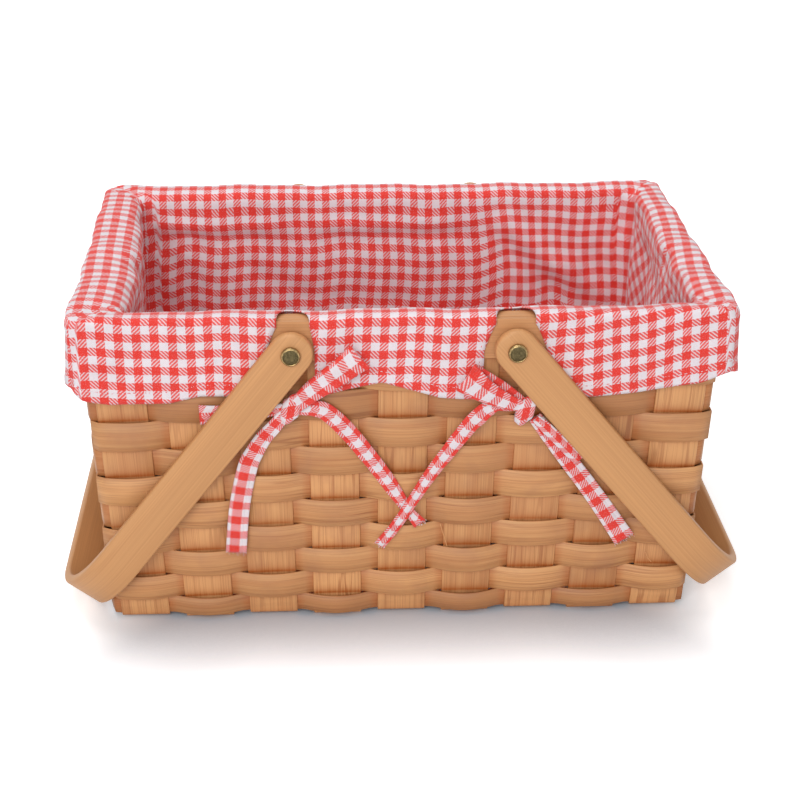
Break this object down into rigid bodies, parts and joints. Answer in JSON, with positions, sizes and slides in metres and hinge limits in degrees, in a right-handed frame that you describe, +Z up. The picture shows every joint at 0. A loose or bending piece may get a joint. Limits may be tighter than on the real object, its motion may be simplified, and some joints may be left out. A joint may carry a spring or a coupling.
{
  "type": "pie basket",
  "caption": "Rectangular woven woodchip basket with swing-down bent-wood handles on brass bolts and a red and white checked cloth liner folded over the rim.",
  "frame": {"origin": "middle of the base on the table, under the crossing of the middle stakes", "axes": "+X along the basket to the right, +Y to the back, +Z up. The picture looks at the -Y side."},
  "size_m": [0.4196, 0.2622, 0.1995],
  "materials": {
    "splint": "unvarnished woodchip splint with fine grain",
    "rim_wood": "satin",
    "handle_wood": "satin bent wood, grain along the bar",
    "aged_brass": "antique brass, darker in the middle of the head",
    "checked_cloth": "matte cotton, red and white check"
  },
  "bodies": {
    "basket": {"cross_stake_1": "splint", "cross_stake_2": "splint", "cross_stake_3": "splint", "cross_stake_4": "splint", "cross_stake_5": "splint", "cross_stake_6": "splint", "cross_stake_7": "splint", "cross_stake_8": "splint", "cross_stake_9": "splint", "long_stake_1": "splint", "long_stake_2": "splint", "long_stake_3": "splint", "long_stake_4": "splint", "long_stake_5": "splint", "weaver_01": "splint", "weaver_02": "splint", "weaver_03": "splint", "weaver_04": "splint", "weaver_05": "splint", "weaver_06": "splint", "weaver_07": "splint", "weaver_08": "splint", "weaver_09": "splint", "weaver_10": "splint", "outer_rim": "rim_wood", "front_rim_batten": "rim_wood", "back_rim_batten": "rim_wood", "left_rim_batten": "rim_wood", "right_rim_batten": "rim_wood", "front_left_bolt": "aged_brass", "front_left_washer": "aged_brass", "front_left_cap_nut": "aged_brass", "front_right_bolt": "aged_brass", "front_right_washer": "aged_brass", "front_right_cap_nut": "aged_brass", "back_left_bolt": "aged_brass", "back_left_washer": "aged_brass", "back_left_cap_nut": "aged_brass", "back_right_bolt": "aged_brass", "back_right_washer": "aged_brass", "back_right_cap_nut": "aged_brass", "liner": "checked_cloth", "front_left_tie": "checked_cloth", "front_right_tie": "checked_cloth", "back_left_tie": "checked_cloth", "back_right_tie": "checked_cloth"},
    "left_handle": {"left_handle": "handle_wood"},
    "right_handle": {"right_handle": "handle_wood"}
  },
  "joints": [
    {"name": "left_handle_hinge", "type": "hinge", "parent": "basket", "child": "left_handle", "pos_m": [-0.064, 0, 0.1803], "axis": [0, 1, 0], "range_deg": [0, 155.5]},
    {"name": "right_handle_hinge", "type": "hinge", "parent": "basket", "child": "right_handle", "pos_m": [0.064, 0, 0.1803], "axis": [0, -1, 0], "range_deg": [0, 153.7]}
  ]
}
